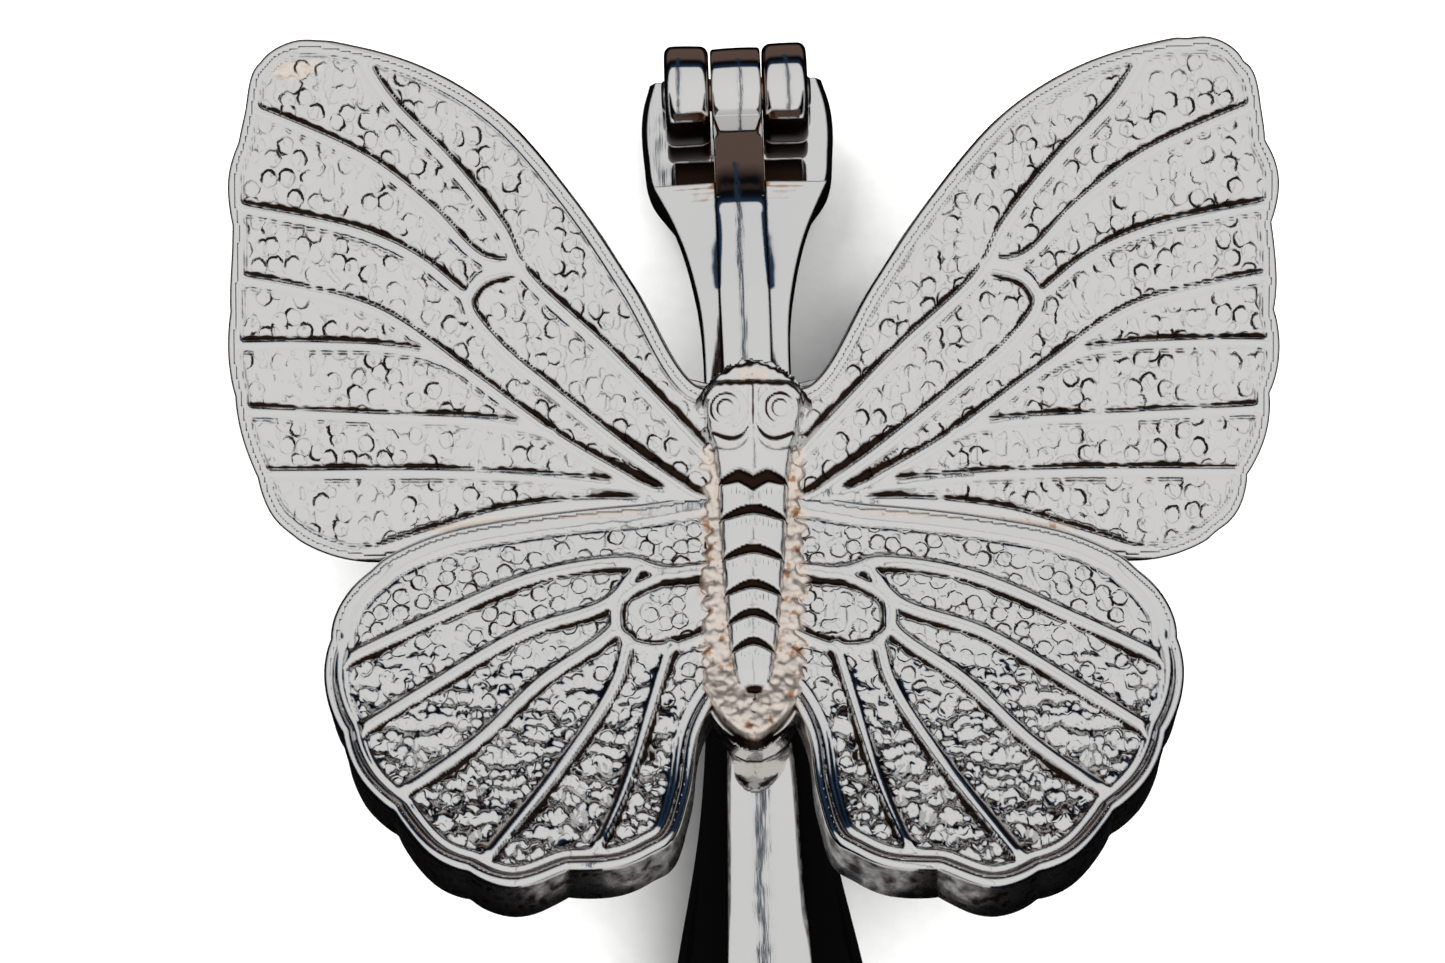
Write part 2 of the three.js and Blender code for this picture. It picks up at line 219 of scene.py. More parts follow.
def platedCasting(name, punched):
    # Nickel-plated cast brass, cast in sand, filed, buffed on a wheel and then plated:
    # a bright mirror with fine straight hairlines, and dark dirt left in everything the wheel can't reach.
    # The same dark colour is also painted as shade into creases, pockets and walls.
    material, tree = emptyMaterial(name)
    place = addNode(tree, "TexCoord").outputs["Object"]

    # buffing hairlines run along the lever, about 0.15 mm apart and drawn at 0.3 mm so that they show
    stretched = addNode(tree, "Mapping", {"Vector": place, "Scale": (3300, 90, 3300)}).outputs[0]
    hairlines = addNode(tree, "TexNoise", {
        "Vector": stretched, "Scale": 1.0, "Detail": 3.0}).outputs[0]
    # the casting's skin ripples slightly over 4 mm, which bends the reflections
    ripple = addNode(tree, "TexNoise", {
        "Vector": place, "Scale": 250.0, "Detail": 1.5}).outputs[0]
    clouds = addNode(tree, "TexNoise", {
        "Vector": place, "Scale": 900.0, "Detail": 4.0}).outputs[0]

    # painted marks, broken up by the clouds
    masks = {}
    for mark, low, high in (("stain", 0.8, 1.35), ("brassAndReflection", 0.9, 1.5), ("grooveDirtAndShade", 0.95, 1.45)):
        painted = addNode(tree, "Attribute", attribute_name=mark).outputs["Fac"]
        broken = addNode(tree, "Math", {0: painted, 1: 1.6, 2: clouds}, operation="MULTIPLY_ADD")
        masks[mark] = addNode(tree, "MapRange", {
            "Value": broken.outputs[0], "From Min": low, "From Max": high}).outputs[0]
    dirtAndShade = masks["grooveDirtAndShade"]

    # filed edges are rounded to about a fifth of a millimetre
    rounded = addNode(tree, "Bevel", {"Radius": 0.0002}, samples=4)
    normal = addNode(tree, "Bump", {
        "Height": ripple, "Strength": 0.12 if punched else 0.07, "Distance": 0.0004,
        "Normal": rounded.outputs[0]}).outputs[0]
    normal = addNode(tree, "Bump", {
        "Height": hairlines, "Strength": 0.06, "Distance": 0.00003, "Normal": normal}).outputs[0]

    if punched:
        # ring punch marks packed over the cells; each leans its own way, so one side is cut deeper
        flat = addNode(tree, "Mapping", {"Vector": place, "Scale": (1, 1, 0)}).outputs[0]
        wander = addNode(tree, "VectorMath", {
            0: addNode(tree, "TexNoise", {"Vector": flat, "Scale": 1500.0}).outputs["Color"],
            1: (0.0004, 0.0004, 0), 2: flat}, operation="MULTIPLY_ADD").outputs[0]
        cells = addNode(tree, "TexVoronoi", {
            "Vector": wander, "Scale": 1 / casting["punchSize"], "Randomness": 0.8},
            voronoi_dimensions="2D")
        offRing = addNode(tree, "Math", {
            0: cells.outputs["Distance"], 1: 0.39}, operation="SUBTRACT")
        offRing = addNode(tree, "Math", {0: offRing.outputs[0]}, operation="ABSOLUTE")
        ring = addNode(tree, "MapRange", {
            "Value": offRing.outputs[0], "From Min": 0.08, "From Max": 0.01}).outputs[0]
        fromMiddle = addNode(tree, "VectorMath", {0: wander, 1: cells.outputs["Position"]},
                             operation="SUBTRACT").outputs[0]
        lean = addNode(tree, "VectorMath", {0: cells.outputs["Color"], 1: (0.5, 0.35, 0.5)},
                       operation="SUBTRACT").outputs[0]
        facing = addNode(tree, "VectorMath", {0: fromMiddle, 1: lean}, operation="DOT_PRODUCT")
        facing = addNode(tree, "MapRange", {
            "Value": facing.outputs["Value"], "From Min": -0.00003, "From Max": 0.00016}).outputs[0]
        struck = addNode(tree, "Attribute", attribute_name="punched").outputs["Fac"]
        depth = addNode(tree, "Math", {
            0: facing, 1: 0.62, 2: 0.38}, operation="MULTIPLY_ADD").outputs[0]
        depth = addNode(tree, "Math", {0: depth, 1: ring}, operation="MULTIPLY").outputs[0]
        depth = addNode(tree, "Math", {0: depth, 1: struck}, operation="MULTIPLY").outputs[0]
        normal = addNode(tree, "Bump", {
            "Height": depth, "Distance": casting["punchDepth"], "Normal": normal}, invert=True).outputs[0]
        # the deeper side of each ring is also painted dark: painted shade in the crescents
        punchShade = addNode(tree, "Math", {
            0: depth, 1: 1.1, 2: clouds}, operation="MULTIPLY_ADD").outputs[0]
        punchShade = addNode(tree, "MapRange", {
            "Value": punchShade, "From Min": 0.78, "From Max": 1.4}).outputs[0]
        dirtAndShade = addNode(tree, "Math", {0: dirtAndShade, 1: punchShade}, operation="MAXIMUM").outputs[0]

    paste = addNode(tree, "ValToRGB", {"Fac": clouds}, stops=[
        (0.34, casting["residueDark"]), (0.44, casting["residue"])]).outputs["Color"]
    colour = linear(casting["silver"])
    for fac, over in ((masks["stain"], paste), (masks["brassAndReflection"], linear(casting["brassAndPaintedReflection"])),
                      (dirtAndShade, linear(casting["tarnishAndShade"]))):
        colour = addNode(tree, "Mix", {0: fac, 6: colour, 7: over}, data_type="RGBA").outputs[2]
    # dirt, painted shade and paste are dull, plate is bright
    dull = addNode(tree, "Math", {0: masks["stain"], 1: dirtAndShade}, operation="MAXIMUM").outputs[0]
    polish = addNode(tree, "MapRange", {
        "Value": dull, "To Min": casting["roughness"], "To Max": 0.42})
    shader = addNode(tree, "BsdfPrincipled", {
        "Metallic": 1.0, "Base Color": colour, "Roughness": polish.outputs[0], "Normal": normal})
    addNode(tree, "OutputMaterial", {"Surface": shader.outputs[0]})
    return material


def turnedSteel(name):
    # Turned mild steel, left bare: grey, with fine marks from the lathe.
    material, tree = emptyMaterial(name)
    shader = addNode(tree, "BsdfPrincipled", {"Metallic": 1.0, "Roughness": 0.3})
    addNode(tree, "OutputMaterial", {"Surface": shader.outputs[0]})
    place = addNode(tree, "TexCoord").outputs["Object"]
    # about 0.4 mm across
    marks = addNode(tree, "TexNoise", {
        "Vector": place, "Scale": 2500.0, "Detail": 3.0}).outputs[0]
    shade = addNode(tree, "ValToRGB", {"Fac": marks}, stops=[
        (0.3, "#8B8A87"), (0.7, "#B9B8B4")]).outputs["Color"]
    tree.links.new(shade, shader.inputs["Base Color"])
    bump = addNode(tree, "Bump", {"Height": marks, "Strength": 0.2, "Distance": 0.00003})
    tree.links.new(bump.outputs[0], shader.inputs["Normal"])
    return material


leverPlate = platedCasting("nickelPlatedLever", False)
butterflyPlate = platedCasting("nickelPlatedButterfly", True)
screwSteel = turnedSteel("turnedSteel")


print("levers")

leverSizes = {
    "start": 12.4, "end": 167.0, "endRounding": 10.0, "stripRise": 0.8, "edgeRound": 0.55,
    "undercutFull": 16.0, "undercutNone": 32.0, "undercutWall": 1.2, "undercutReach": 1.8,
    "toothStart": 16.0, "toothEnd": 52.0, "toothPitch": 2.6, "toothDepth": 0.8,
    # s, half width, strip half width, outer face, side edge and inner face above the mid-plane
    "stations": [
        [12.4, 7.9, 2.2, 7.3, 6.65, 0.3], [14.5, 6.95, 2.18, 7.95, 6.8, 1.0], [16, 6.3, 2.15, 8.15, 6.9, 1.6],
        [23.5, 4.3, 2.13, 9.0, 7.6, 3.5], [35, 3.8, 2.13, 9.0, 7.6, 3.5], [43, 3.8, 2.3, 8.3, 6.9, 3.4],
        [52, 4.1, 2.65, 7.2, 5.6, 1.7],
        [60, 4.5, 2.9, 6.5, 4.4, 0], [70, 5.4, 3.15, 6.6, 3.5, 1.6], [83, 7.8, 3.4, 7.8, 3.4, 2.5],
        [95, 9.9, 3.6, 8.8, 3.5, 2.5], [110, 10.4, 3.9, 9.0, 3.6, 2.5], [130, 10.1, 4.0, 9.0, 3.6, 2.5],
        [150, 9.0, 3.8, 8.5, 3.6, 2.5], [167, 7.6, 3.4, 7.2, 3.5, 2.5]],
    # the rear lever's head plate, which narrows before the front lever does
    "rearHead": [
        [-2.5, 8.0, 2.2, 4.4, 3.4, 1.95], [0, 8.65, 2.2, 5.0, 3.9, 1.95], [5, 8.75, 2.2, 5.7, 4.4, 1.95],
        [9.2, 7.9, 2.2, 6.3, 5.3, 1.95], [11, 6.5, 2.2, 6.6, 5.9, 1.85], [13, 5.0, 2.2, 7.2, 6.4, 1.7],
        [15.5, 4.15, 2.2, 8.0, 6.9, 1.9], [19, 3.65, 2.15, 8.7, 7.3, 2.6], [25, 3.5, 2.13, 9.0, 7.6, 3.5],
        [35, 3.5, 2.13, 9.0, 7.6, 3.5]],
}


def stationCurve(stations, s):
    # cubic through the stations, slopes from each station's two neighbours
    table = np.asarray(stations, float)
    at, values = table[:, 0], table[:, 1:]
    slopes = np.gradient(values, at, axis=0)
    i = int(np.clip(np.searchsorted(at, s) - 1, 0, len(at) - 2))
    span = at[i + 1] - at[i]
    t = (s - at[i]) / span
    return ((2 * t**3 - 3 * t**2 + 1) * values[i] + (t**3 - 2 * t**2 + t) * span * slopes[i]
            + (3 * t**2 - 2 * t**3) * values[i + 1] + (t**3 - t**2) * span * slopes[i + 1])


def leverShape(stations, s):
    width, strip, outer, edge, inner = stationCurve(stations, s)
    rounding = leverSizes["endRounding"]
    intoEnd = max(0, s - (leverSizes["end"] - rounding)) / rounding
    taper = max(0.1, math.sqrt(max(0, 1 - intoEnd**2)))
    return width * taper, strip * taper, min(axisHeight, outer), edge, max(0.15, min(3.5, inner))


def toothRise(s):
    if not leverSizes["toothStart"] <= s <= leverSizes["toothEnd"]:
        return 0
    phase = (s - leverSizes["toothStart"]) / leverSizes["toothPitch"] % 1
    return leverSizes["toothDepth"] / 2 * (1 - abs(2 * phase - 1))


def leverSection(stations, s, side):
    # half the section from the jaw face round to the strip, then mirrored
    width, strip, outer, edge, inner = leverShape(stations, s)
    low = max(0.15, inner - toothRise(s))
    r = min(leverSizes["edgeRound"], width * 0.3)
    rise = leverSizes["stripRise"]
    facet = max(outer - rise, edge + 0.35)
    # near the head the front lever's flanks are cut away under a thin edge
    cut = (1 - smoothStep(leverSizes["undercutFull"], leverSizes["undercutNone"], s)) * (side > 0)
    foot = max(low + r, low + r + (edge - leverSizes["undercutWall"] - low - r) * cut)
    jaw = width - r - (leverSizes["undercutReach"] - r) * cut
    half = [(width * 0.45, low), (jaw, low),
            (jaw + (width - jaw) * 0.7, low + (foot - low) * 0.7), (width, foot)]
    half += [(width, edge - r), (width - 0.06 * r, edge - 0.35 * r), (width - 0.35 * r, edge + 0.05 * r)]
    inward = strip + 0.12
    for t in (0.15, 0.4, 0.65, 0.85, 1.0):    # slightly hollow facet
        x = width - 0.35 * r + (inward - width + 0.35 * r) * t
        z = edge + (facet - edge) * t - 0.35 * math.sin(math.pi * t) * (facet - edge) / 4
        half.append((x, z))
    # the strip is buffed a little fuller in the middle
    half += [(strip + 0.06, outer - 0.27), (strip, outer - 0.16), (strip - 0.16, outer - 0.08)]
    half += [(strip * share, outer - 0.07 * share**2) for share in (0.75, 0.5, 0.25)]
    full = half + [(-x, z) for x, z in reversed(half)]
    return [(x, s, axisHeight + side * z) for x, z in full]


def leverPlaces(start):
    ridged = np.arange(leverSizes["toothStart"], leverSizes["toothEnd"] + 0.01,
                       leverSizes["toothPitch"] / 8)
    before = np.arange(start, leverSizes["toothStart"], 0.25)
    after = np.arange(leverSizes["toothEnd"] + 0.6, leverSizes["end"] - leverSizes["endRounding"], 0.9)
    turn = np.linspace(0, math.pi / 2, 22)
    end = leverSizes["end"] - leverSizes["endRounding"] * (1 - np.sin(turn))
    return np.concatenate([before, ridged, after, end])


def leverBar(name, stations, start, side):
    rings = [leverSection(stations, s, side) for s in leverPlaces(start)]
    points, faces = loftMesh(rings)
    return faceOutward(makeObject(name, points, faces, leverPlate, 32))


def crossRoller(name, radius, x0, x1, edge, s=0.0, z=0.0, material=None, crown=0.0, crownShift=0.0):
    # a short cylinder along x with rounded edges, its middle a little fuller than its ends
    ends = [(x0 + edge * (1 - math.sin(a)), radius - edge * (1 - math.cos(a)))
            for a in np.linspace(math.pi / 2, 0, 6)]
    middle = [(x, radius) for x in np.linspace(x0 + edge, x1 - edge, 11)[1:-1]]
    profile = ends + middle + [(x0 + x1 - x, r) for x, r in reversed(ends)]
    rings = []
    for x, r in profile:
        across = 2 * (x - (x0 + x1) / 2 - crownShift) / (x1 - x0)
        r -= crown * across**2
        rings.append([(x, s + r * math.cos(a), axisHeight + z + r * math.sin(a))
                      for a in np.linspace(0, 2 * math.pi, 96, endpoint=False)])
    points, faces = loftMesh(rings)
    return faceOutward(makeObject(name, points, faces, material or leverPlate, 40))


def plainBox(name, x0, x1, s0, s1, z0, z1):
    points = [(x, s, z) for z in (z0, z1) for s in (s0, s1) for x in (x0, x1)]
    faces = [(0, 1, 3, 2), (4, 6, 7, 5), (0, 4, 5, 1), (2, 3, 7, 6), (0, 2, 6, 4), (1, 5, 7, 3)]
    return faceOutward(makeObject(name, points, faces, leverPlate))


def cutAway(piece, *tools, join=False):
    for tool in tools:
        step = piece.modifiers.new("cut", "BOOLEAN")
        step.operation = "UNION" if join else "DIFFERENCE"
        step.solver = "EXACT"
        step.object = tool
    graph = bpy.context.evaluated_depsgraph_get()
    result = bpy.data.meshes.new_from_object(piece.evaluated_get(graph))
    piece.modifiers.clear()
    piece.data = result
    for tool in tools:
        bpy.data.objects.remove(tool)
    return piece


brassReflectionAndShade = {
    "besideTongue": 0.75,                # how strongly the brass colour is painted beside the tongue
    "reflectionStreaks": (12.95, 13.5, 14.05),     # s of the painted reflection streaks past the shoulder edge
    "streakHalf": 0.14, "streakStrength": 0.6,
    # painted shade under the hinge's knuckles and in the rear lever's pockets
    "hingeShade": 0.75, "shadeHalfWidth": 6.6, "shadeStart": 3.9, "shadeEnd": 12.6,
    "cheekZ": -1.95,                     # the head plate's face, which is left out of the painted shade
}


def finishLever(piece, body, node, sharpAngle=32):
    mesh = piece.data
    mesh.polygons.foreach_set("use_smooth", [True] * len(mesh.polygons))
    mesh.set_sharp_from_angle(angle=math.radians(sharpAngle))
    co = vertexPlaces(mesh) * 1000
    x, s, z = co[:, 0], hingeY - co[:, 1], co[:, 2] - axisHeight
    # brass colour painted in a band beside the hinge's tongue, and painted reflection streaks just past the
    # shoulder edge
    besideTongue = (np.abs(np.abs(x) - 2.45) < 0.25) & (s < 13)
    reflectionStreaks = sum(np.exp(-((s - at) / brassReflectionAndShade["streakHalf"]) ** 2) for at in brassReflectionAndShade["reflectionStreaks"])
    reflectionStreaks *= brassReflectionAndShade["streakStrength"] * smoothStep(6.3, 5.0, np.abs(x) + 0.8 * (s - 12.9))
    reflectionStreaks *= (np.abs(x) > 2.3) * (z > 0)
    brassAndReflection = np.where(besideTongue, brassReflectionAndShade["besideTongue"], reflectionStreaks)
    # painted shade under the knuckles and down in the pockets, where the levers shade each other
    fromPocket = np.hypot(s - hinge["pocketS"], z - hinge["pocketZ"]) - hinge["pocketRadius"]
    shadedPocket = (np.abs(x) < brassReflectionAndShade["shadeHalfWidth"]) & (np.abs(z - brassReflectionAndShade["cheekZ"]) > 0.06)
    shadedPocket &= (s > brassReflectionAndShade["shadeStart"]) & (s < brassReflectionAndShade["shadeEnd"]) & (z > -4) & (z < 3)
    shadedPocket &= node == "rear_lever"
    shadedPocket &= (np.abs(fromPocket) < 0.1) | (np.hypot(s, z) < 4.75)
    paintMarks(mesh, {"brassAndReflection": brassAndReflection, "grooveDirtAndShade": brassReflectionAndShade["hingeShade"] * shadedPocket})
    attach(piece, body)
    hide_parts(node)
    return piece


hinge = {
    "knuckleRadius": 4.6, "tongueRadius": 4.3, "tongueHalf": 2.3, "knuckleInner": 2.46, "knuckleOuter": 6.55,
    "knuckleEdge": 0.75, "knuckleCrown": 0.06, "tongueCrown": 0.08,
    "tongueTopStart": 3.7, "tongueTop": 2.7, "tongueSlope": 0.75,
    "pinRadius": 1.5, "pinHalf": 6.9, "pinGap": 0.3, "boreReach": 10, "slotEnd": 5.2,
    "pocketS": 8.4, "pocketZ": 0.4, "pocketRadius": 3.5, "pocketHalf": 6.2,
}


def pinBore():
    reach = hinge["boreReach"]
    return crossRoller("bore", hinge["pinRadius"] + hinge["pinGap"], -reach, reach, 0.1)


def makeRearLever():
    head = leverSizes["rearHead"]
    stations = head + [row for row in leverSizes["stations"] if row[0] > head[-1][0]]
    bar = leverBar("rearLever", stations, head[0][0], -1)
    scoop = crossRoller("scoop", hinge["pocketRadius"], -hinge["pocketHalf"], hinge["pocketHalf"], 0.6,
                        hinge["pocketS"], hinge["pocketZ"])
    bar = cutAway(bar, scoop)
    inner, outer = hinge["knuckleInner"], hinge["knuckleOuter"]
    knuckles = [crossRoller("knuckle", hinge["knuckleRadius"], x0, x1, hinge["knuckleEdge"],
                            crown=hinge["knuckleCrown"], crownShift=shift)
                for x0, x1, shift in ((-outer, -inner, -1.0), (inner, outer, 0.5))]
    bar = cutAway(bar, *knuckles, join=True)
    slot = plainBox("slot", -inner, inner, -6, hinge["slotEnd"], -1, 20)
    return finishLever(cutAway(bar, slot, pinBore()), rearBody, "rear_lever")


def tongueStrip():
    # the raised strip runs down from the shoulder and rolls over the middle knuckle
    half = hinge["tongueHalf"] - 0.06
    rings = []
    length = leverSizes["start"] - hinge["tongueTopStart"]
    shoulderTop = leverShape(leverSizes["stations"], leverSizes["start"])[2]
    easing = (hinge["tongueSlope"] * length - (shoulderTop - hinge["tongueTop"])) / length**2
    shoulder = leverSizes["start"]
    for s in np.concatenate([np.linspace(1.0, shoulder, 30), [shoulder + 0.8, shoulder + 1.8]]):
        along = s - hinge["tongueTopStart"]
        climb = hinge["tongueTop"] + hinge["tongueSlope"] * along - easing * along**2
        top = max(0.6, climb) if s <= shoulder else leverShape(leverSizes["stations"], s)[2] - 0.01
        low = 0.3 if s <= shoulder else 2.5
        section = [(half, low), (half, top - 0.27), (half - 0.07, top - 0.14), (half - 0.22, top - 0.06)]
        section += [(half * share, top - 0.06 * share**2) for share in (0.6, 0.2)]
        section += [(-x, z) for x, z in reversed(section)]
        rings.append([(x, s, axisHeight + z) for x, z in section])
    points, faces = loftMesh(rings)
    return faceOutward(makeObject("tongueStrip", points, faces, leverPlate))


screws = {
    "shank": 1.5, "head": 2.7, "headHeight": 1.3, "sink": 0.5, "gap": 0.3,
    "fixing_screw_upper": 40.5, "fixing_screw_lower": 53.0,
}


def screwRecess(s):
    face = axisHeight + leverShape(leverSizes["stations"], s)[4] + screws["sink"]
    wide = screws["head"] + screws["gap"]
    narrow = screws["shank"] + screws["gap"]
    profile = [(face - 4, wide), (face + screws["gap"], wide),
               (face + screws["headHeight"] + screws["gap"], narrow),
               (face + 12, narrow)]
    turn = np.linspace(0, 2 * math.pi, 64, endpoint=False)
    rings = [[(r * math.cos(a), s + r * math.sin(a), z) for a in turn] for z, r in profile]
    points, faces = loftMesh(rings)
    return faceOutward(makeObject("recess", points, faces, leverPlate))


def makeFrontLever():
    bar = leverBar("frontLever", leverSizes["stations"], leverSizes["start"], 1)
    knuckle = crossRoller("tongue", hinge["tongueRadius"], -hinge["tongueHalf"], hinge["tongueHalf"], 0.3,
                          crown=hinge["tongueCrown"], crownShift=0.5)
    bar = cutAway(bar, tongueStrip(), knuckle, join=True)
    holes = [screwRecess(screws[n]) for n in ("fixing_screw_upper", "fixing_screw_lower")]
    return finishLever(cutAway(bar, pinBore(), *holes), frontBody, "front_lever")


rearLever = makeRearLever()
frontLever = makeFrontLever()

pin = crossRoller("hingePin", hinge["pinRadius"], -hinge["pinHalf"], hinge["pinHalf"], 0.45,
                  material=screwSteel)
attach(pin, rearBody)
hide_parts("hinge_pin")
for node in ("fixing_screw_upper", "fixing_screw_lower"):
    steelNode = frame["nodes"][node]
    for materialSlot in steelNode.material_slots:
        materialSlot.material = screwSteel


print("butterfly")

butterfly = {
    "twist": -2.0,              # degrees off the lever's axis
    "pivot": 46.0,
    "rootS": 44.9, "rootZ": 21.93, "upperTilt": 0.445,
    "curlStart": 57.9, "curl": 0.01055,
    "upperThickness": 3.0, "lowerThickness": 4.6,
    "gridStep": 0.19,
    "pebble": 1.75,             # mm between the punch marks
    "seed": 7,
}

# right-hand outlines as (x, s), from the root round the margin and back
upperOutline = [
    (1, 37), (5, 36), (10, 28.5), (15, 21.7), (21, 15.4), (27, 11.9), (33, 10.1), (38.2, 9.6), (41.7, 11.4),
    (42.7, 15.2), (44.1, 20), (43.9, 26), (44.3, 31.5), (44, 36.5), (42.7, 41.5), (40.5, 46.4), (37, 48.8),
    (31.5, 49.8), (20, 47.2), (10, 46.4), (1, 46.2)]
lowerOutline = [
    (1, 45), (10, 45.2), (20, 46.4), (27, 48), (32, 50.8), (35, 55), (35.7, 59), (34.8, 64), (32.5, 69),
    (28.5, 73.8), (24.8, 77.3), (19.5, 79.3), (14.8, 78.2), (9.8, 77.2), (6.6, 75.2), (5.2, 71), (4.4, 65.5),
    (3, 62.5), (1, 60)]

# smooth bands between the hammered cells: half width in mm, then the band's middle line
upperVeins = [
    (0.50, [(34, 9), (30.7, 14.1), (25.6, 19), (21.1, 24.2), (19.4, 27.4), (12.1, 33.8), (2, 43.5)]),
    (0.42, [(43, 14.6), (39, 16), (32.1, 19), (27.1, 22.6), (22.9, 26.4), (19.6, 27)]),
    (0.42, [(46, 22), (42.4, 22.6), (33.1, 24.4), (28.3, 26.4), (24.2, 29.4)]),
    (0.48, [(19.6, 27), (22.9, 28), (24, 29.8), (21.7, 32.9), (16.3, 37.1), (9.1, 42.3), (2, 46.6)]),
    (0.45, [(46, 27.6), (39.1, 28.6), (31.6, 30.5), (24.1, 35.2), (16.3, 40.4), (9.1, 44.2)]),
    (0.38, [(46, 33.1), (37.7, 33), (28.3, 33.6), (24.6, 34.9)]),
    (0.42, [(46, 38), (31.6, 38.6), (21, 39.1), (17, 39.9)]),
    (0.42, [(46, 43), (24.2, 43), (13.3, 43.7), (2, 45.4)]),
    (0.50, [(34, 49.6), (27, 47.6), (20.8, 46), (12, 45.3), (2, 46)])]
lowerVeins = [
    (0.50, [(2, 50.9), (7.7, 51.2), (10, 50.4), (17.8, 51.5), (26.3, 55.2), (36.5, 60.3)]),
    (0.50, [(9.6, 50.8), (12, 53.9), (19.1, 56.6), (27.4, 61.8), (33, 65.6)]),
    (0.50, [(11.4, 54.4), (11.6, 56.2), (17.5, 60.8), (23, 66.4), (29.5, 71.4)]),
    (0.50, [(10.4, 57.2), (11.3, 60.8), (15.1, 67.4), (19.6, 74), (22, 77.5)]),
    (0.42, [(6.9, 57.6), (8.4, 63), (10.5, 70.4), (12.6, 76)]),
    (0.42, [(2, 50.6), (8.6, 52), (11.2, 53.9), (11.4, 55.8), (10.2, 57.5), (6.8, 57.9), (2, 56)])]


def upperTop(s):
    return butterfly["rootZ"] + (butterfly["rootS"] - s) * butterfly["upperTilt"]


def lowerTop(s):
    return butterfly["rootZ"] + butterfly["curl"] * np.maximum(0, s - butterfly["curlStart"]) ** 2


def normalAt(topOf, s):
    # the wing's upward normal in (s, z)
    slope = (topOf(s + 0.05) - topOf(s - 0.05)) / 0.1
    length = np.sqrt(1 + slope**2)
    return -slope / length, 1 / length


def punchMarks(x, s, pitch, depth, seed):
    # Round punch marks packed side by side, each tilted its own way; one in five is driven in as a pit.
    # x and s are in mm. Gives the height and how deep in a crease the point is.
    rng = np.random.default_rng(seed)
    columns, rows = 80, 80
    jitter = rng.uniform(-0.42, 0.42, (2, columns, rows))
    turn = rng.uniform(0, 2 * math.pi, (columns, rows))
    lift = rng.uniform(0.35, 1.0, (columns, rows))
    lift = np.where(rng.random((columns, rows)) < 0.2, -1.3, lift)
    i0 = np.floor(x / pitch).astype(int)
    j0 = np.floor(s / pitch).astype(int)
    near = np.full(x.shape, 9.0)
    second = np.full(x.shape, 9.0)
    tilt = np.zeros(x.shape)
    rise = np.zeros(x.shape)
    for di in (-1, 0, 1):
        for dj in (-1, 0, 1):
            i, j = (i0 + di) % columns, (j0 + dj) % rows
            cx = (i0 + di + 0.5 + jitter[0, i, j]) * pitch
            cs = (j0 + dj + 0.5 + jitter[1, i, j]) * pitch
            dx, ds = x - cx, s - cs
            r = np.hypot(dx, ds) / pitch
            closer = r < near
            second = np.where(closer, near, np.minimum(second, r))
            tilt = np.where(closer, (dx * np.cos(turn[i, j]) + ds * np.sin(turn[i, j])) / pitch, tilt)
            rise = np.where(closer, lift[i, j], rise)
            near = np.where(closer, r, near)
    dome = 1 - (near / 0.6) ** 2
    crease = 1 - smoothStep(0.02, 0.2, second - near)
    height = depth * rise * (dome + 0.7 * tilt) * (1 - crease) - depth * 0.4 * crease
    return height, crease * (0.4 + 0.6 * (tilt < 0))


def wingField(x, s, veins, rimDistance, deep):
    # height of the wing's skin over its mean surface, dirt and painted shade in its cuts and creases, and how
    # strongly the point is punched
    k = 0.18
    total = np.exp(-rimDistance / k)
    cut = 0.45 * np.exp(-((rimDistance - 0.18) / 0.15) ** 2)
    toRoot = np.hypot(x, s - butterfly["rootS"])
    ragged = np.sin(x * 2.9 + s * 1.7) * np.sin(s * 2.3 - x * 1.9 + 1.3)
    patch = np.sin(x * 0.5 + s * 0.3) * np.sin(s * 0.45 - x * 0.25 + 1.3)
    for halfWidth, line in veins:
        curve = smoothCurve(line, False, 8)
        away, strong = distanceToLine(x, s, curve)
        away -= halfWidth
        total += np.exp(-away / k)
        # the graver cut one side of every band deep and only traced the other
        wide = 0.155 + 0.2 * np.exp(-((toRoot - 8) / 4.5) ** 2) + 0.045 * ragged + 0.05 * patch
        deepSide = np.exp(-((away - wide) / wide) ** 2) * (0.93 + 0.1 * patch)
        traced = np.exp(-((away - 0.2 - 0.08 * ragged) / 0.12) ** 2)
        traced *= smoothStep(-0.35, 0.45, ragged + patch) * 0.6
        cut = np.maximum(cut, np.where(strong, deepSide, traced))
    inCell = -k * np.log(np.maximum(total, 1e-12))
    cut = np.clip(cut * smoothStep(-0.2, 0.05, inCell), 0, 1)
    band = 1 - smoothStep(-0.2, 0.1, inCell)
    fill = smoothStep(0.15, 0.6, inCell)
    marks, crease = punchMarks(x + 60, s, butterfly["pebble"], 0.06 + 0.34 * deep, butterfly["seed"])
    coarse, coarseCrease = punchMarks(x + 20, s + 9, butterfly["pebble"] * 0.62, 0.3 * deep, 3)
    height = 0.02 - 0.2 * (1 - band) - (0.42 + 0.2 * deep) * cut
    height += fill * (marks + coarse) - 0.3 * deep * fill
    # the cuts and the punch creases are painted dark, more where the punching is deep: painted shade
    dirtAndShade = 1.0 * cut + fill * deep * (0.3 * crease + 0.3 * coarseCrease)
    struck = smoothStep(0.0, 0.35, inCell) * (0.55 + 0.45 * smoothStep(-0.55, 0.1, patch))
    struck *= 1 - 0.5 * deep
    return height, np.clip(dirtAndShade, 0, 1), struck


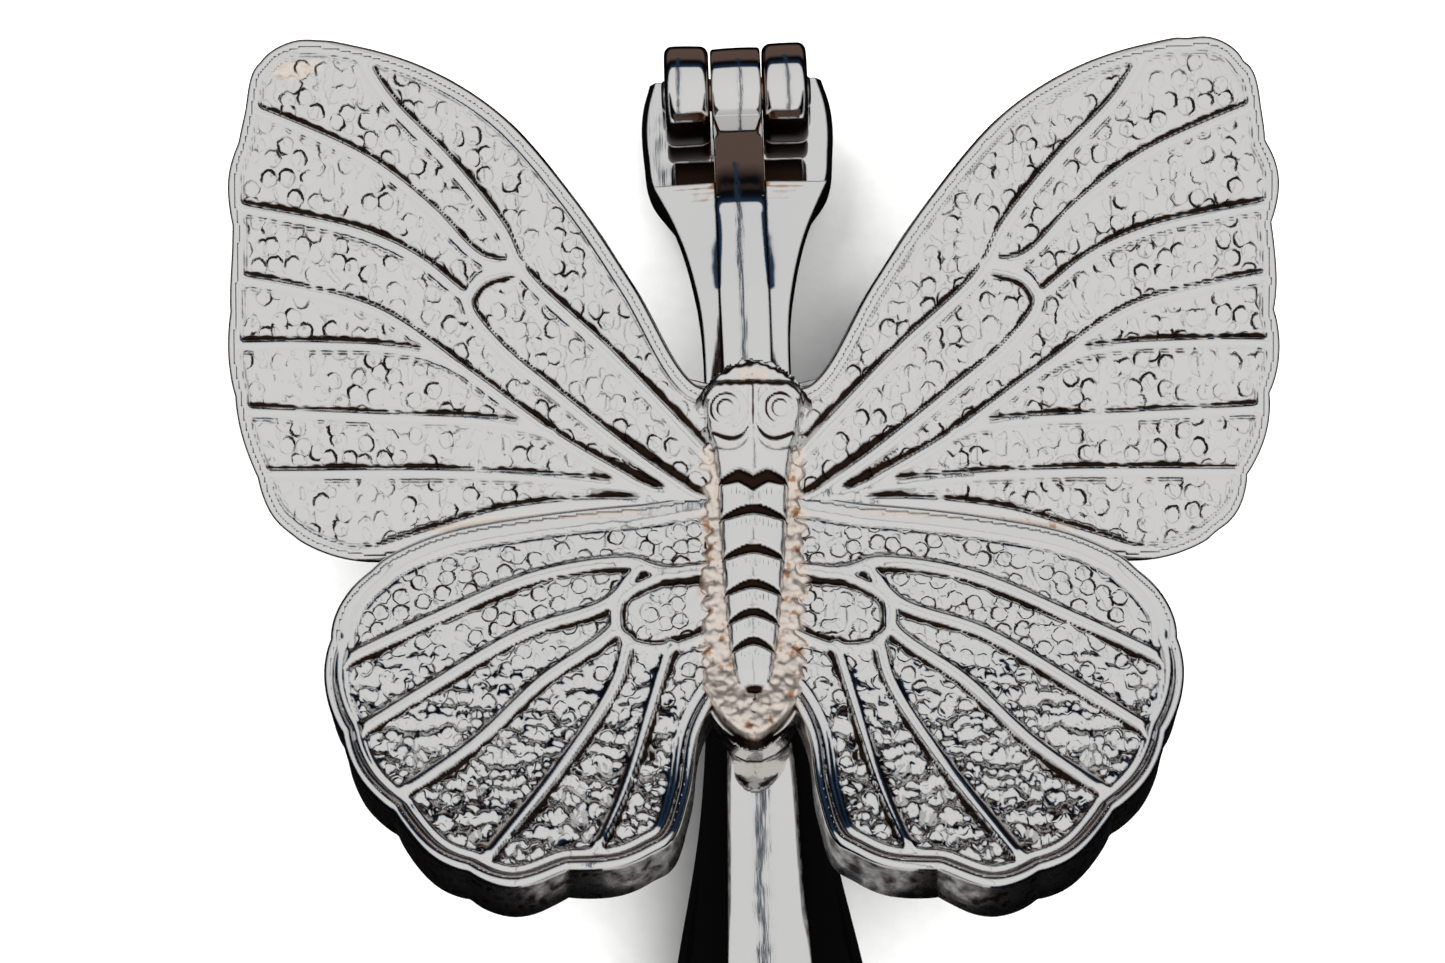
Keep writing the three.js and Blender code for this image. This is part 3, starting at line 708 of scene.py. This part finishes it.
def tanStain(x, s):
    uneven = 0.5 * np.sin(s * 1.9 + np.abs(x)) * np.sin(s * 0.83 + 1.1)
    besideBody = 1 - smoothStep(3.6, 5.2, np.abs(x) + uneven + 0.4 * np.abs(s - 52) / 10)
    besideBody *= smoothStep(37, 42, s) * (1 - smoothStep(64, 67, s))
    seam = np.exp(-((s - 46.1 - 0.0032 * np.maximum(0, np.abs(x) - 8) ** 2) / 0.5) ** 2)
    seam *= smoothStep(5, 13, np.abs(x)) * (1 - smoothStep(25, 30, np.abs(x)))
    apex = 0.75 * np.exp(-((x + 38.3) / 2.2) ** 2 - ((s - 11.9 + 0.12 * (x + 38)) / 0.8) ** 2)
    return np.clip(0.7 * besideBody + 0.62 * seam + apex, 0, 1)


def twisted(points):
    a = math.radians(butterfly["twist"])
    out = np.array(points, float)
    x, y = out[:, 0].copy(), butterfly["pivot"] - out[:, 1]
    out[:, 0] = x * math.cos(a) - y * math.sin(a)
    out[:, 1] = butterfly["pivot"] - (x * math.sin(a) + y * math.cos(a))
    return out


def wingMargin(outline, side, lobes, lobeDepth):
    # the outline with shallow scallops along its outer margin
    line, run = evenly(smoothCurve(outline, True, 12), 0.3)
    step = np.roll(line, -1, axis=0) - np.roll(line, 1, axis=0)
    inward = np.column_stack([-step[:, 1], step[:, 0]])
    inward /= np.linalg.norm(inward, axis=1)[:, None]
    centre = line.mean(axis=0)
    if np.einsum("ij,ij->i", inward, centre - line).mean() < 0:
        inward = -inward
    first, last, count = lobes
    t = (run - first) / (last - first)
    wave = 1 - np.abs(np.sin(np.pi * np.clip(t, 0, 1) * count)) ** 0.8
    wave = np.where((t > 0) & (t < 1), wave, 0) * smoothStep(0, 0.04, t) * (1 - smoothStep(0.96, 1, t))
    line = line + inward * (wave * lobeDepth)[:, None]
    line[:, 0] *= side
    inward[:, 0] *= side
    return line, inward, wave


def wingSkin(name, margin, veins, topOf, deepOf, rimWidth, dish):
    step = butterfly["gridStep"]
    low, high = margin.min(axis=0), margin.max(axis=0)
    xs, ss = np.arange(low[0], high[0], step), np.arange(low[1], high[1], step)
    x, s = np.meshgrid(xs, ss, indexing="ij")
    rim, _ = distanceToLine(x, s, np.vstack([margin[::2], margin[:1]]))
    inside = insideLine(x, s, margin) & (rim > 0.5)
    deep = deepOf(np.abs(x), s)
    height, dirtAndShade, struck = wingField(np.abs(x), s, veins, rim - rimWidth, deep)
    # the rim is dished where the wing curls
    height -= dish * smoothStep(54, 68, s + 0.2 * np.abs(x)) * np.exp(-((rim - 1.35) / 0.5) ** 2)
    ns, nz = normalAt(topOf, s)
    quads = inside[:-1, :-1] & inside[1:, :-1] & inside[1:, 1:] & inside[:-1, 1:]
    marks = {"grooveDirtAndShade": dirtAndShade, "stain": tanStain(x, s), "punched": struck}
    return closedSkin(name, x, s, topOf(s), height, ns, nz, quads, marks, 1.8 if dish else 1.3)


def closedSkin(name, x, s, top, height, ns, nz, quads, marks, depth):
    # The fine upper skin, a wall down from its border, and one hidden strip under each row of the grid.
    rows = x.shape[1]
    upper = np.stack([x, s + ns * height, top + nz * height], axis=-1).reshape(-1, 3)
    lower = np.stack([x, s - ns * depth, top - nz * depth], axis=-1).reshape(-1, 3)
    number = np.arange(x.size).reshape(x.shape)
    corners = (number[:-1, :-1], number[1:, :-1], number[1:, 1:], number[:-1, 1:])
    faces = np.stack(corners, axis=-1)[quads]
    edges = np.vstack([faces[:, [k, (k + 1) % 4]] for k in range(4)])
    _, first, counts = np.unique(np.sort(edges, axis=1), axis=0, return_index=True, return_counts=True)
    border = edges[first[counts == 1]]
    onBorder = np.zeros(x.size, bool)
    onBorder[border] = True
    onBorder = onBorder.reshape(x.shape)
    under = x.size
    allFaces = [tuple(f) for f in faces] + [(b, a, under + a, under + b) for a, b in border]
    for row in range(rows - 1):
        filled = np.concatenate([[0], quads[:, row].astype(int), [0]])
        starts, stops = np.flatnonzero(np.diff(filled) == 1), np.flatnonzero(np.diff(filled) == -1)
        for start, stop in zip(starts, stops):
            across = np.arange(start, stop + 1)
            near = under + number[across, row][onBorder[across, row]]
            far = under + number[across, row + 1][onBorder[across, row + 1]]
            allFaces.append(tuple(near[::-1]) + tuple(far))
    used = np.unique(np.concatenate([np.array(f) for f in allFaces]))
    place = np.full(2 * x.size, -1)
    place[used] = np.arange(len(used))
    points = np.vstack([upper, lower])[used]
    blank = np.zeros(x.size)
    painted = {mark: np.concatenate([values.ravel(), blank])[used] for mark, values in marks.items()}
    return faceOutward(makeObject(name, twisted(points), [place[list(f)] for f in allFaces], butterflyPlate,
                                  None, painted))


def wingRim(name, margin, inward, wave, topOf, thickness, flute):
    # the raised rim and the wall below it, one closed band round the wing
    t = thickness
    section = [(0.2, -t), (0.0, -t + 0.2), (0.0, -t * 0.55), (0.0, -0.75), (0.03, -0.4), (0.1, -0.16),
               (0.26, -0.06), (0.48, -0.03), (0.72, -0.06), (0.95, -0.25), (0.97, -0.8),
               (0.97, -t + 0.2), (0.8, -t)]
    ring = np.arange(len(margin))
    # the wall was filed by hand, which left shallow flats with ridges between them
    flats = np.abs(np.sin(ring * 0.3 / 2.9 + 0.6 * np.sin(ring * 0.11)))
    rings = []
    for offset, height in section:
        share = smoothStep(-0.5, -1.2, height) * (offset < 0.5)
        at = margin + inward * (offset + share * (flute * flats + 3 * flute * wave**2))[:, None]
        ns, nz = normalAt(topOf, at[:, 1])
        rings.append(np.column_stack([at[:, 0], at[:, 1] + ns * height, topOf(at[:, 1]) + nz * height]))
    rings = np.stack(rings, axis=1)
    count, around = rings.shape[:2]
    faces = bandFaces(count, around, closed=True)
    points = rings.reshape(-1, 3)
    # the wall is painted dark and dull: painted shade in place of the dark surroundings it mirrors
    wall = np.tile([0.5 * (height < -0.7) * (offset < 0.5) for offset, height in section], count)
    marks = {"stain": 0.4 * tanStain(points[:, 0], points[:, 1]), "grooveDirtAndShade": wall}
    return faceOutward(makeObject(name, twisted(points), faces, butterflyPlate, 50, marks))


def wingCore(name, margin, topOf, thickness, centre):
    # the plain plate under the fine skin, which shows from behind
    rings = []
    plan = [(share, 0.1 - thickness) for share in (0.02, 0.25, 0.5, 0.75, 0.975)]
    plan += [(0.975, -1.6), (0.8, -2.0), (0.5, -2.2), (0.25, -2.2), (0.02, -2.2)]
    for share, height in plan:
        at = centre + (margin - centre) * share
        ns, nz = normalAt(topOf, at[:, 1])
        rings.append(np.column_stack([at[:, 0], at[:, 1] + ns * height, topOf(at[:, 1]) + nz * height]))
    points, faces = loftMesh(rings)
    return faceOutward(makeObject(name, twisted(points), faces, butterflyPlate, 40))


def rideOnLever(piece):
    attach(piece, frontBody)
    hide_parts("butterfly")
    return piece


def makeWing(label, outline, veins, topOf, thickness, side, lobes, lobeDepth, deepOf, rimWidth, dish, centre):
    margin, inward, wave = wingMargin(outline, side, lobes, lobeDepth)
    centre = np.array([centre[0] * side, centre[1]])
    rideOnLever(wingSkin(label + "Skin", margin, veins, topOf, deepOf, rimWidth, dish))
    rideOnLever(wingRim(label + "Rim", margin, inward, wave, topOf, thickness, 0.06 if dish else 0.04))
    rideOnLever(wingCore(label + "Back", margin, topOf, thickness, centre))


def upperDeep(x, s):
    return 0.25 * smoothStep(16, 11, s) * smoothStep(30, 38, x)


def lowerDeep(x, s):
    return smoothStep(58, 70, s + 0.15 * x)


for side, label in ((-1, "left"), (1, "right")):
    makeWing(label + "UpperWing", upperOutline, upperVeins, upperTop, butterfly["upperThickness"], side,
             (0.33, 0.66, 7), 0.5 if side > 0 else 0.22, upperDeep, 1.15, 0, (26, 31))
    makeWing(label + "LowerWing", lowerOutline, lowerVeins, lowerTop, butterfly["lowerThickness"], side,
             (0.27, 0.72, 6), 0.42, lowerDeep, 1.9, 0.6, (18, 61))
print("wings made")


insect = {
    "step": 0.14,
    "notch": 43.2,                                  # the thorax plate's two-pointed end
    "segments": [46.0, 49.5, 52.6, 55.1, 57.6],
    "widthAt": [34.9, 36.5, 39.5, 41.5, 43.6, 46.4, 49.8, 53, 55.4, 57.9, 60.6, 61.7, 62.3],
    "halfWidth": [4.5, 4.3, 4.0, 3.3, 2.95, 2.85, 2.65, 2.45, 2.2, 1.95, 1.55, 1.1, 0.2],
    "eyeX": 2.3, "eyeS": 38.6, "eyeRing": 1.35, "eyeInner": 0.85,
    "padStart": 61.0, "padEnd": 66.5, "padHalf": 3.9,
}


def baseTop(s):
    return np.where(s < butterfly["rootS"], upperTop(s), lowerTop(s)) - 0.1


def lastRow(x):
    # where the cream pad under the tail ends, in a rounded V
    return insect["padEnd"] - 4.0 * (np.abs(x) / insect["padHalf"]) ** 2


def bodyField(x, s):
    # height of the insect's back over the wing roots, with its dirt and painted shade
    ax = np.abs(x)
    across = ax / np.interp(s, insect["widthAt"], insect["halfWidth"])
    rise = np.interp(s, [35, 37, 42, 44, 60.5, 62.3], [0.6, 1.0, 1.1, 1.0, 0.7, 0.0])
    wall = 1 - smoothStep(0.93, 1.05, across)
    height = wall * (1.85 + rise + 0.8 * rise * np.sqrt(np.clip(1 - across**2, 0, 1))) - 1.5
    # a thin dark line painted along the body's edge: painted shade where it meets the wings
    dirtAndShade = 0.3 * np.exp(-((across - 1.02) / 0.06) ** 2)
    # each ring of the abdomen starts in a crescent under the lip of the one before it, cut in and painted
    # black as painted shade
    slots = [(place, 1.15 * across**1.6, 0.95 - 0.06 * i) for i, place in enumerate(insect["segments"])]
    slots.append((insect["notch"], 1.5 * np.abs(np.clip(across, 0, 1) - 0.42) ** 1.2, 1.25))
    for place, bend, deep in slots:
        local = s - place - bend
        width = deep * np.clip(1 - across**2, 0, 1) ** 0.6 + 0.02
        inSlot = smoothStep(-0.1, 0.02, local) * (1 - smoothStep(0.55, 1.0, local / width)) * (across < 1)
        height -= 0.75 * rise * inSlot
        dirtAndShade = np.maximum(dirtAndShade, inSlot)
        # fine lengthwise lines just below the slot
        lines = np.exp(-((local - width - 0.55) / 0.5) ** 2) * (np.sin(x * 17 + np.sin(s * 1.7)) > 0.55)
        dirtAndShade = np.maximum(dirtAndShade, 0.42 * lines * (across < 0.9))
        height -= 0.03 * lines
    # two raised rings round each eye, the inner one nearly filled; a dark line is painted just inside each
    # ring, darker on one side: painted shade
    toEye = np.hypot((ax - insect["eyeX"]) / 1.06, s - insect["eyeS"])
    shadeSide = np.clip(0.6 - 0.5 * (x - insect["eyeX"] * np.sign(x)) - 0.4 * (s - insect["eyeS"]), 0.35, 1)
    for radius, rim in ((insect["eyeRing"], 0.16), (insect["eyeInner"], 0.2)):
        height += rim * np.exp(-((toEye - radius) / 0.14) ** 2)
        dirtAndShade = np.maximum(dirtAndShade, 0.95 * shadeSide * np.exp(-((toEye - radius + 0.2) / 0.1) ** 2))
    # the nose line and the drooping cheek lines under the eyes
    nose = np.exp(-(x / 0.13) ** 2) * smoothStep(36.4, 37, s) * (1 - smoothStep(39.6, 40.2, s))
    height -= 0.12 * nose
    for droop, reach, strength in ((40.35, 3.3, 0.9), (41.2, 3.6, 0.55)):
        line = s - droop - 0.55 * np.sin(np.clip(ax, 0, reach) * math.pi / reach) + 1.3 * np.exp(-ax / 0.45)
        stroke = np.exp(-(line / 0.17) ** 2) * smoothStep(0.05, 0.5, ax)
        stroke *= 1 - smoothStep(reach, reach + 0.4, ax)
        height -= 0.3 * strength * stroke
        dirtAndShade = np.maximum(dirtAndShade, strength * stroke)
    dirtAndShade = np.maximum(dirtAndShade, 0.7 * nose)
    return height, dirtAndShade


def crownField(x, s):
    # a rough ridge arching over the head and a lower one across the brow
    ax = np.abs(x)
    rough = np.sin(x * 5.1) * np.sin(x * 2.3 + s * 3.7)
    arch = s - 34.9 - 2.8 * (ax / 4.8) ** 2 - 0.12 * rough
    brow = s - 36.7 - 0.9 * smoothStep(2.8, 4.4, ax) - 0.06 * rough
    outer = np.exp(-(arch / 0.34) ** 2) * (ax < 4.9)
    inner = np.exp(-(brow / 0.2) ** 2) * (ax < 4.3)
    return outer, inner, arch


def makeBody():
    step = insect["step"]
    x, s = np.meshgrid(np.arange(-5.6, 5.61, step), np.arange(33.6, 67.0, step), indexing="ij")
    ax = np.abs(x)
    back, dirtAndShade = bodyField(x, s)
    outer, inner, arch = crownField(x, s)
    back = np.where(arch > 0, back, -1.5)
    grain, _ = punchMarks(x + 40, s, 0.9, 0.09, 11)
    fine, _ = punchMarks(x + 11, s, 0.5, 0.05, 5)
    uneven = 0.3 * np.sin(s * 1.9 + 2 * x) * np.sin(s * 0.7) + 0.25 * np.sin(s * 4.3 - x)
    # the skirt beside the body is rough from the mould and sinks into the wings
    skirt = 0.35 - 1.7 * smoothStep(3.5, 5.3, ax + uneven) + grain + fine
    pad = 0.45 * smoothStep(insect["padStart"] - 1.5, insect["padStart"] + 2.5, s)
    height = np.maximum(back + 0.25 * inner, skirt + pad)
    height = np.maximum(height, np.where(outer > 0.05, 1.35 * outer, -1.5))
    height -= 2.2 * smoothStep(-0.9, 0.25, s - lastRow(x)) * smoothStep(58, 60, s)
    inside = (arch > -0.75) & (s < lastRow(x) + 0.2) & (ax < 5.5)
    quads = inside[:-1, :-1] & inside[1:, :-1] & inside[1:, 1:] & inside[:-1, 1:]
    onBack = back > skirt
    stain = np.where(onBack, 0, 0.75) * smoothStep(39, 43, s) * (1 - smoothStep(4.4, 5.4, ax + uneven))
    stain = np.maximum(stain, 0.75 * smoothStep(61, 62, s) * ~onBack)
    onCrown = np.exp(-((arch - 0.9) / 0.6) ** 2) * smoothStep(1.9, 0.5, ax + 0.4 * uneven) * (s < 37)
    stain = np.maximum(stain, 0.7 * onCrown)
    dirtAndShade = np.maximum(dirtAndShade, np.maximum(0.75 * outer, 0.8 * inner))
    # the end of the pad is painted dark where it drops away: painted shade
    dirtAndShade = np.maximum(dirtAndShade, 0.9 * smoothStep(-0.7, -0.1, s - lastRow(x)) * (s > 61))
    # a small hollow where the last ring of the abdomen meets the pad, painted black as painted shade
    tip = np.exp(-((ax - 0.1) / 0.75) ** 2 - ((s - 61.9 + 0.25 * ax**2) / 0.35) ** 2)
    height -= 0.35 * tip
    dirtAndShade = np.maximum(dirtAndShade, tip)
    nothing = np.zeros(x.shape)
    marks = {"grooveDirtAndShade": dirtAndShade, "stain": stain}
    return rideOnLever(closedSkin("insectBody", x, s, baseTop(s), height, nothing, nothing + 1,
                                  quads, marks, 2.2))


def makeRootBlock():
    # the block that seats the casting on the lever's crest
    rings = []
    for s in np.linspace(36.2, 66.0, 60):
        seat = axisHeight + leverShape(leverSizes["stations"], s)[2] + 0.35
        top = float(baseTop(np.array(s))) - 0.7
        w = 4.2 * min(1, 0.6 + (s - 36.2) / 6) * math.sqrt(max(0.02, 1 - max(0, (s - 60.5) / 5.6) ** 2))
        half = [(w * 0.8, seat), (w * 0.95, seat + 0.2), (w, seat + 0.5), (w, top)]
        half += [(-x, z) for x, z in reversed(half)]
        rings.append([(x, s, z) for x, z in half])
    points, faces = loftMesh(rings)
    marks = {"stain": np.full(len(points), 0.3)}
    block = makeObject("rootBlock", twisted(points), faces, butterflyPlate, 40, marks)
    return rideOnLever(faceOutward(block))


makeBody()
makeRootBlock()
print("body made")

print("studio")

studio = {
    "capTilt": -0.46,        # the bright ceiling leans towards the handles
    "capStrength": 1.0,
    "wallWidth": 0.5,        # below one spreads the brown wall sideways
    "seam": 0.007,           # dark gap between the two ceiling cloths, as a share of their height
    "seamColour": "#26384C",
    "backWall": "#63514A",
}


def paperFloor():
    # Matt paper sweep: fibres give it a faint tooth.
    bpy.ops.mesh.primitive_grid_add(x_subdivisions=8, y_subdivisions=8, size=6, location=(0, 0, -0.0002))
    floor = bpy.context.object
    floor.name = "paperFloor"
    material = bpy.data.materials.new("mattPaper")
    material.use_nodes = True
    tree = material.node_tree
    shader = tree.nodes["Principled BSDF"]
    shader.inputs["Roughness"].default_value = 0.9
    place = addNode(tree, "TexCoord").outputs["Object"]
    fibres = addNode(tree, "TexNoise", {
        "Vector": place, "Scale": 700.0, "Detail": 4.0}).outputs[0]
    tone = addNode(tree, "ValToRGB", {"Fac": fibres}, stops=[
        (0.2, "#F1F1EF"), (0.8, "#F8F8F6")]).outputs["Color"]
    tree.links.new(tone, shader.inputs["Base Color"])
    floor.data.materials.append(material)
    floor.visible_glossy = False


def studioWorld():
    # a bright ceiling cloth, a dark blue band at its edge, then black room, and a brown wall behind
    world = bpy.data.worlds.new("studio")
    bpy.context.scene.world = world
    world.use_nodes = True
    tree = world.node_tree
    tree.nodes.clear()
    way = addNode(tree, "TexCoord").outputs["Generated"]
    centre = Vector((0, studio["capTilt"], 0.89)).normalized()
    angle = addNode(tree, "VectorMath", {0: way, 1: centre}, operation="DOT_PRODUCT")
    spread = addNode(tree, "MapRange", {
        "Value": angle.outputs["Value"], "From Min": -1.0, "From Max": 1.0}).outputs[0]
    # cosine 0.34 is 70 degrees from the middle of the cloth
    colour = addNode(tree, "ValToRGB", {"Fac": spread}, stops=[
        (0.0, "#080706"), (0.5, "#0D0C0E"), (0.575, "#0F141C"), (0.64, "#22334A"), (0.668, "#2B3E55"),
        (0.674, "#E9EAEC"), (1.0, "#F2F2F2")]).outputs["Color"]
    narrow = addNode(tree, "Mapping", {"Vector": way, "Scale": (studio["wallWidth"], 1, 1)}).outputs[0]
    narrow = addNode(tree, "VectorMath", {0: narrow}, operation="NORMALIZE").outputs[0]
    behind = addNode(tree, "VectorMath", {0: narrow, 1: (0, 1, 0)}, operation="DOT_PRODUCT")
    wall = addNode(tree, "MapRange", {
        "Value": behind.outputs["Value"], "From Min": 0.88, "From Max": 0.95}).outputs[0]
    colour = addNode(tree, "Mix", {0: wall, 6: colour, 7: linear(studio["backWall"])},
                     data_type="RGBA").outputs[2]
    # the gap between the cloths runs from the hinge to the handles
    parts = addNode(tree, "SeparateXYZ", {0: way})
    lean = addNode(tree, "Math", {0: parts.outputs["X"]}, operation="ABSOLUTE").outputs[0]
    gap = addNode(tree, "Math", {0: lean, 1: studio["seam"]}, operation="LESS_THAN").outputs[0]
    above = addNode(tree, "Math", {
        0: parts.outputs["Z"], 1: 0.3}, operation="GREATER_THAN").outputs[0]
    gap = addNode(tree, "Math", {0: gap, 1: above}, operation="MULTIPLY").outputs[0]
    colour = addNode(tree, "Mix", {
        0: gap, 6: colour, 7: linear(studio["seamColour"])}, data_type="RGBA").outputs[2]
    back = addNode(tree, "Background", {"Color": colour, "Strength": studio["capStrength"]})
    addNode(tree, "OutputWorld", {"Surface": back.outputs[0]})


def softLamp(name, place, target, size, watts, glossy):
    lamp = bpy.data.lights.new(name, "AREA")
    lamp.shape = "DISK"
    lamp.size = size
    lamp.energy = watts
    holder = bpy.data.objects.new(name, lamp)
    holder.location = place
    holder.rotation_euler = (Vector(target) - Vector(place)).to_track_quat("-Z", "Y").to_euler()
    holder.visible_glossy = glossy
    bpy.context.scene.collection.objects.link(holder)


view = {
    "elevation": 69.0, "roll": 2.0, "distance": 0.290, "lens": 85.0,
    "aimX": -0.0025, "aimS": 42.5, "aimZ": 20.0,
}


def makeCamera():
    data = bpy.data.cameras.new("camera")
    data.lens = view["lens"]
    data.sensor_width = 36
    data.clip_start = 0.01
    camera = bpy.data.objects.new("camera", data)
    bpy.context.scene.collection.objects.link(camera)
    aim = Vector((view["aimX"], (hingeY - view["aimS"]) * 0.001, view["aimZ"] * 0.001))
    e = math.radians(view["elevation"])
    camera.location = aim + view["distance"] * Vector((0, -math.cos(e), math.sin(e)))
    turn = (aim - camera.location).to_track_quat("-Z", "Y").to_matrix().to_4x4()
    roll = Vector((0, 0, 1))
    camera.matrix_world = (Matrix.Translation(camera.location) @ turn
                           @ Matrix.Rotation(math.radians(-view["roll"]), 4, roll))
    bpy.context.scene.camera = camera


paperFloor()
studioWorld()
softLamp("ceilingLamp", (0.4, -0.3, 0.9), (0, 0, 0), 1.0, 14.0, False)
softLamp("fillLamp", (-0.6, 0.4, 0.8), (0, 0, 0), 1.0, 12.0, False)
makeCamera()
bpy.context.scene.view_settings.view_transform = "Standard"
